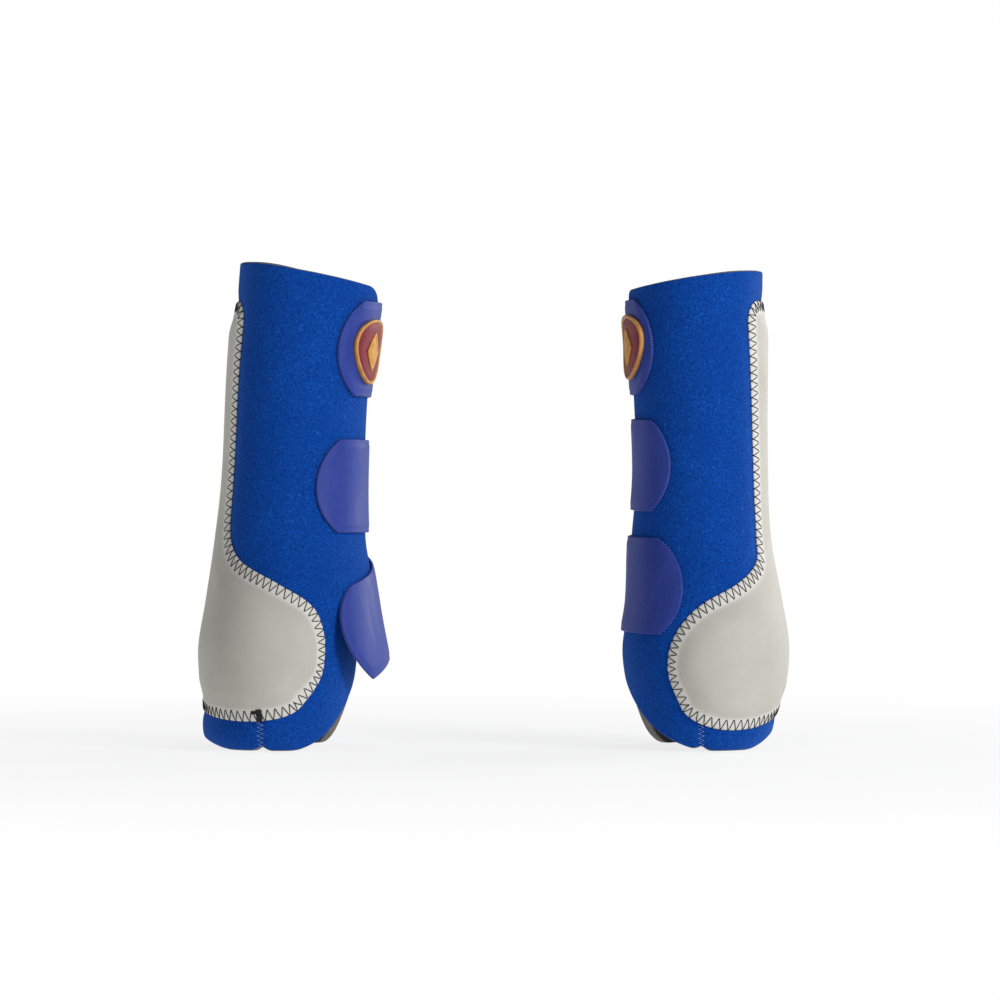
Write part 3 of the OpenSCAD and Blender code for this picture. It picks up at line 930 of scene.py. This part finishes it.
# Insets from the outline and heights over the tab. The base starts under its middle and the others at their
# edges, and each ends on its face.
BASE_PROFILE = ((15, 0.02), (11, 0.02), (7, 0.02), (3.5, 0.02), (0.9, 0.02), (0.25, 0.05), (0, 0.35),
                (0, 1.7), (0.15, 2.2), (0.5, 2.5), (1.0, 2.6), (1.5, 2.45), (1.8, 2.05), (1.9, 1.5),
                (5, 1.42), (10, 1.4))
FIELD_PROFILE = ((1.95, 1.45), (2.0, 1.6), (2.3, 1.72), (6, 1.78), (11, 1.8), (16, 1.8))
EMBLEM_PROFILE = ((0, 1.6), (0.02, 2.2), (0.35, 2.5), (1.5, 2.52), (1.8, 2.3), (2.4, 2.28), (2.7, 2.5),
                  (4.8, 2.62))
for boot in BOOTS:
    parts = (("badge_rim", egg, BASE_PROFILE, BADGE_RIM, "badge_base", "badge_rim"),
             ("badge_face", egg, FIELD_PROFILE, BADGE_FIELD, "badge_field", "badge_field"),
             ("badge_lozenge", lozenge, EMBLEM_PROFILE, BADGE_EMBLEM, "badge_emblem", "badge_emblem"))
    for label, outline, profile, finish, node, slot in parts:
        part = make(boot.name(label), *badge_part(boot, outline, profile), [finish])
        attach(part, boot.name("top_strap"))
        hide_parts(boot.name(node))


# ---------------------------------------------------------------- floor, light and camera

def white(tree, strength):
    return add(tree, "Emission", {"Color": rgb(1, 1, 1), "Strength": strength}).outputs["Emission"]


def floor_material():
    """A pale floor that fades into the white background away from the boots."""
    made, tree, shader = material("studio_floor", 0.9, Specular_IOR_Level=0.1)
    shader.inputs["Base Color"].default_value = rgb(0.86, 0.86, 0.86)
    where = add(tree, "TexCoord", {}).outputs["Object"]
    away = add(tree, "VectorMath", {0: where}, operation="LENGTH").outputs["Value"]
    faded = add(tree, "MixShader", {0: between(tree, away, 0.1, 0.75, 0.8, 1.0), 1: shader.outputs["BSDF"],
                                    2: white(tree, 1.0)})
    tree.links.new(faded.outputs["Shader"], tree.nodes["Material Output"].inputs["Surface"])
    return made


bpy.ops.mesh.primitive_circle_add(vertices=96, radius=30, fill_type="NGON", location=(0, 0, -0.0003))
floor = bpy.context.object
floor.name = "floor"
floor.data.materials.append(floor_material())

world = bpy.data.worlds.new("studio")
bpy.context.scene.world = world
world.use_nodes = True
sky = world.node_tree
seen = add(sky, "Background", {"Color": rgb(1, 1, 1), "Strength": 1.0})
cast = add(sky, "Background", {"Color": rgb(0.95, 0.97, 1.0), "Strength": 0.22})
is_seen = add(sky, "LightPath", {}).outputs["Is Camera Ray"]
both = add(sky, "MixShader", {0: is_seen, 1: cast.outputs["Background"], 2: seen.outputs["Background"]})
sky.links.new(both.outputs["Shader"], sky.nodes["World Output"].inputs["Surface"])


def lamp(name, place, aim, size, power, colour=(1, 1, 1)):
    """A square area light at a place, aimed at a point."""
    data = bpy.data.lights.new(name, "AREA")
    data.size, data.energy, data.color = size, power, colour
    obj = bpy.data.objects.new(name, data)
    obj.location = place
    obj.rotation_euler = (mathutils.Vector(aim) - mathutils.Vector(place)).to_track_quat("-Z", "Y").to_euler()
    bpy.context.scene.collection.objects.link(obj)


MIDDLE = (0, 0, 0.14)
lamp("key", (1.7, -1.7, 1.1), MIDDLE, 1.0, 50)
lamp("fill", (-1.3, -2.0, 0.6), MIDDLE, 1.4, 3.8)
lamp("rim_right", (1.3, 1.1, 0.6), (0, 0, 0.16), 0.8, 14)
lamp("rim_left", (-1.4, 1.3, 0.6), (0, 0, 0.16), 0.8, 2.5)

camera = bpy.data.objects.new("camera", bpy.data.cameras.new("camera"))
camera.data.lens = 157
camera.data.sensor_width = 36
camera.location = (0.0035, -2.491, 0.1411)
camera.rotation_euler = (math.pi / 2, 0, 0)
bpy.context.scene.collection.objects.link(camera)
bpy.context.scene.camera = camera
bpy.context.scene.view_settings.view_transform = "Standard"
